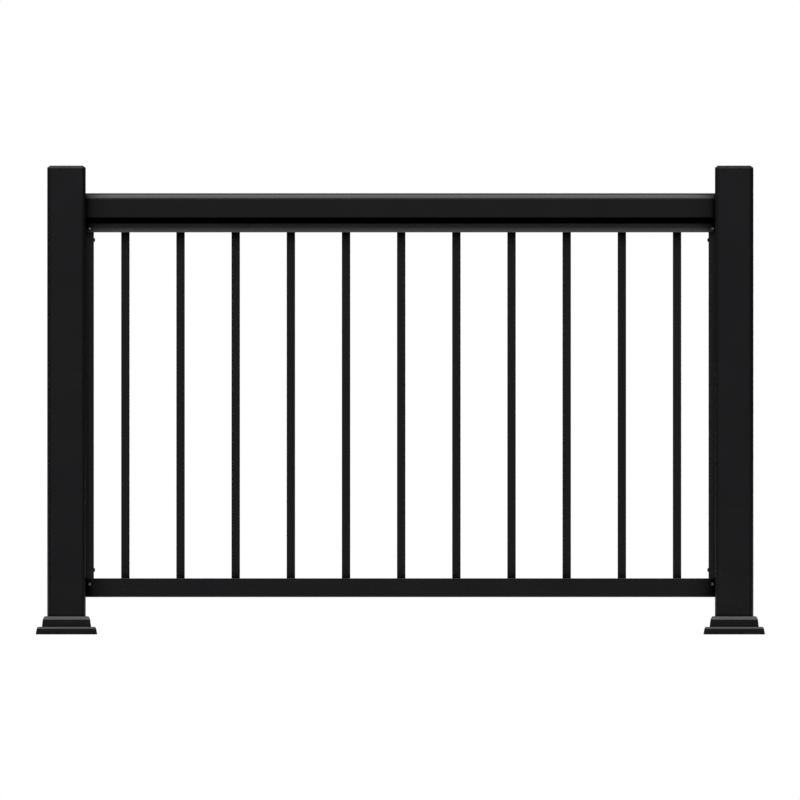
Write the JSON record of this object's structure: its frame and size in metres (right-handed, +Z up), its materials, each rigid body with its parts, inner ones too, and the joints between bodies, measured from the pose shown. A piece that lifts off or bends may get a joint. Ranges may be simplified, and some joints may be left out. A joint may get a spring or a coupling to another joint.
{
  "type": "modular railing bay",
  "caption": "Straight bay of black metal railing: two capped posts with two-step skirts, a two-piece top rail, a bottom rail and square balusters between them.",
  "frame": {"origin": "centre of the underside of the left post's base plate, on the deck", "axes": "+X along the bay to the right post, +Y to the back, +Z up"},
  "size_m": [1.5109, 0.1274, 0.9716],
  "materials": {
    "post": "satin",
    "rail": "satin",
    "baluster": "satin",
    "channel": "satin",
    "plate": "satin",
    "trim": "satin"
  },
  "bodies": {
    "root": {"base_plate_left": "plate", "post_left": "post", "post_cap_left": "trim", "post_skirt_left": "trim", "end_channel_left": "channel", "base_plate_right": "plate", "post_right": "post", "post_cap_right": "trim", "post_skirt_right": "trim", "end_channel_right": "channel", "bottom_rail": "rail", "carrier_rail": "rail", "handrail": "rail", "baluster_01": "baluster", "baluster_02": "baluster", "baluster_03": "baluster", "baluster_04": "baluster", "baluster_05": "baluster", "baluster_06": "baluster", "baluster_07": "baluster", "baluster_08": "baluster", "baluster_09": "baluster", "baluster_10": "baluster", "baluster_11": "baluster"}
  },
  "joints": []
}
